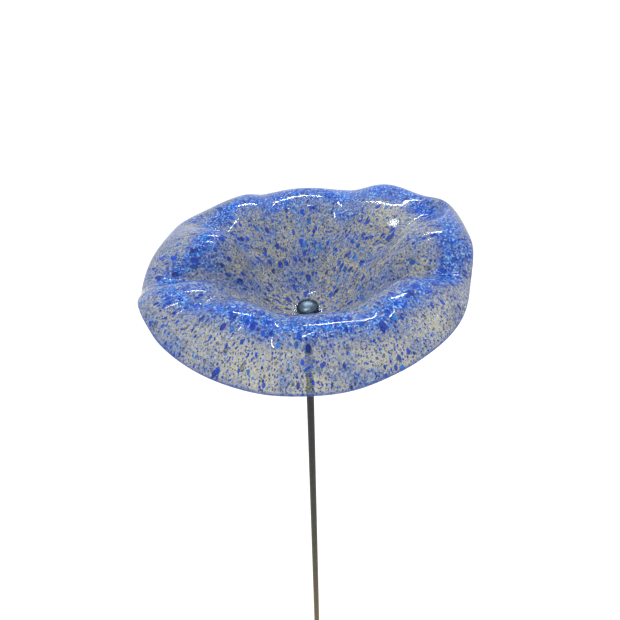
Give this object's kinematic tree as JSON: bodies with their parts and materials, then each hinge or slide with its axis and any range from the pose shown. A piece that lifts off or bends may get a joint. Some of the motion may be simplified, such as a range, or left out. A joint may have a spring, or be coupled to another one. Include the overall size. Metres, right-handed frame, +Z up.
{
  "type": "bird bath on a ground stake",
  "caption": "Deep slumped-glass dish with a folded, rolled-over rim, clamped by a domed cap nut on a threaded stud above a slim pointed steel stake for soft ground.",
  "frame": {"origin": "on the stake's axis at the ground line, with the stake's buried length below it", "axes": "+Z up along the stake; -Y is the side of the dish that faces the viewer, +X the higher side of its rim"},
  "size_m": [0.2931, 0.2927, 1.2406],
  "materials": {
    "weathered_steel": "dark mill scale at the top, browner towards the ground",
    "zinc_steel": "zinc plated, satin",
    "rubber": "matt black rubber",
    "speckled_glass": "clear slumped glass full of cobalt, azure and grey-beige glass chips, fire polished",
    "sleeve_plastic": "natural nylon",
    "polished_steel": "polished dark steel"
  },
  "bodies": {
    "stake": {"stake_rod": "weathered_steel", "coupling_nut": "zinc_steel", "top_stud": "zinc_steel", "lock_nut": "zinc_steel", "support_plate": "zinc_steel", "seat_washer": "rubber"},
    "dish": {"glass_dish": "speckled_glass", "hole_sleeve": "sleeve_plastic"},
    "cap_seal": {"cap_washer": "rubber"},
    "cap": {"cap_nut": "polished_steel"}
  },
  "joints": [
    {"name": "dish_turn", "type": "hinge", "parent": "stake", "child": "dish", "pos_m": [0, 0, 0.9], "axis": [0, 0, 1], "continuous": true},
    {"name": "cap_turn", "type": "hinge", "parent": "stake", "child": "cap_seal", "pos_m": [0, 0, 0.904], "axis": [0, 0, 1], "range_deg": [0, 1260]},
    {"name": "cap_lift", "type": "slide", "parent": "cap_seal", "child": "cap", "axis": [0, 0, 1], "range_m": [0, 0.00445]}
  ],
  "couplings": [
    {"joint": "cap_lift", "follows": "cap_turn", "m_per_rad": 0.00019894}
  ]
}
